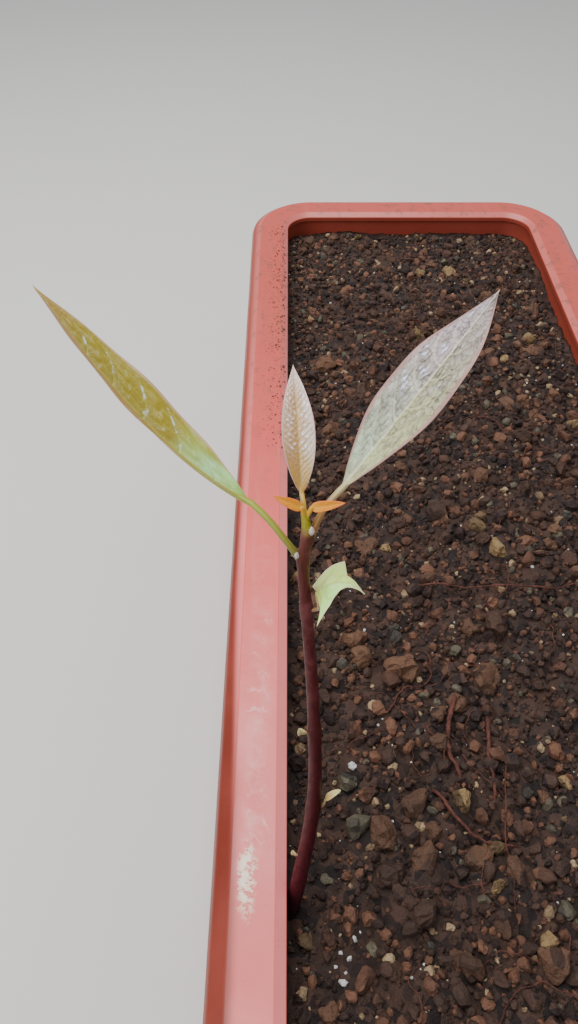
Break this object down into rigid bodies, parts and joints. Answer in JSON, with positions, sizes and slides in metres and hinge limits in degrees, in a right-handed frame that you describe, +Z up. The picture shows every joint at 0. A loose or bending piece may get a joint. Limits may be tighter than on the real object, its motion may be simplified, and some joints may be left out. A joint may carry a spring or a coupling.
{
  "type": "potted avocado seedling",
  "caption": "Young avocado seedling with a thin maroon stem and bronze new leaves, in a long terracotta-coloured plastic planter filled with granular soil.",
  "frame": {"origin": "centre of the planter's flat underside", "axes": "+Z up, +Y along the planter's length, +X across it; the seedling stands by the long rim on the -X side"},
  "size_m": [0.2697, 0.65, 0.3549],
  "materials": {
    "planter_plastic": "sun-faded terracotta plastic, satin, scuffed, with a lime stain",
    "soil": "moist granular potting soil",
    "stem_skin": "smooth dark maroon young bark with a faint bloom",
    "leaf_olive": "glossy olive-yellow young leaf",
    "leaf_mauve": "silky grey-mauve young leaf",
    "leaf_bronze": "glossy bronze young leaf",
    "leaf_young": "orange unopened leaf",
    "leaf_pale": "pale yellow-green leaf",
    "bud_down": "silvery down"
  },
  "bodies": {
    "root": {"planter": "planter_plastic", "soil": "soil", "stem": "stem_skin", "leaf_left": "leaf_olive", "leaf_right": "leaf_mauve", "leaf_centre": "leaf_bronze", "young_leaf_left": "leaf_young", "young_leaf_right": "leaf_young", "pale_leaf": "leaf_pale", "bud_leaf_upper": "leaf_pale", "bud_leaf_middle": "leaf_pale", "bud_leaf_lower": "leaf_pale", "bud_left": "bud_down", "bud_right": "bud_down"}
  },
  "joints": []
}
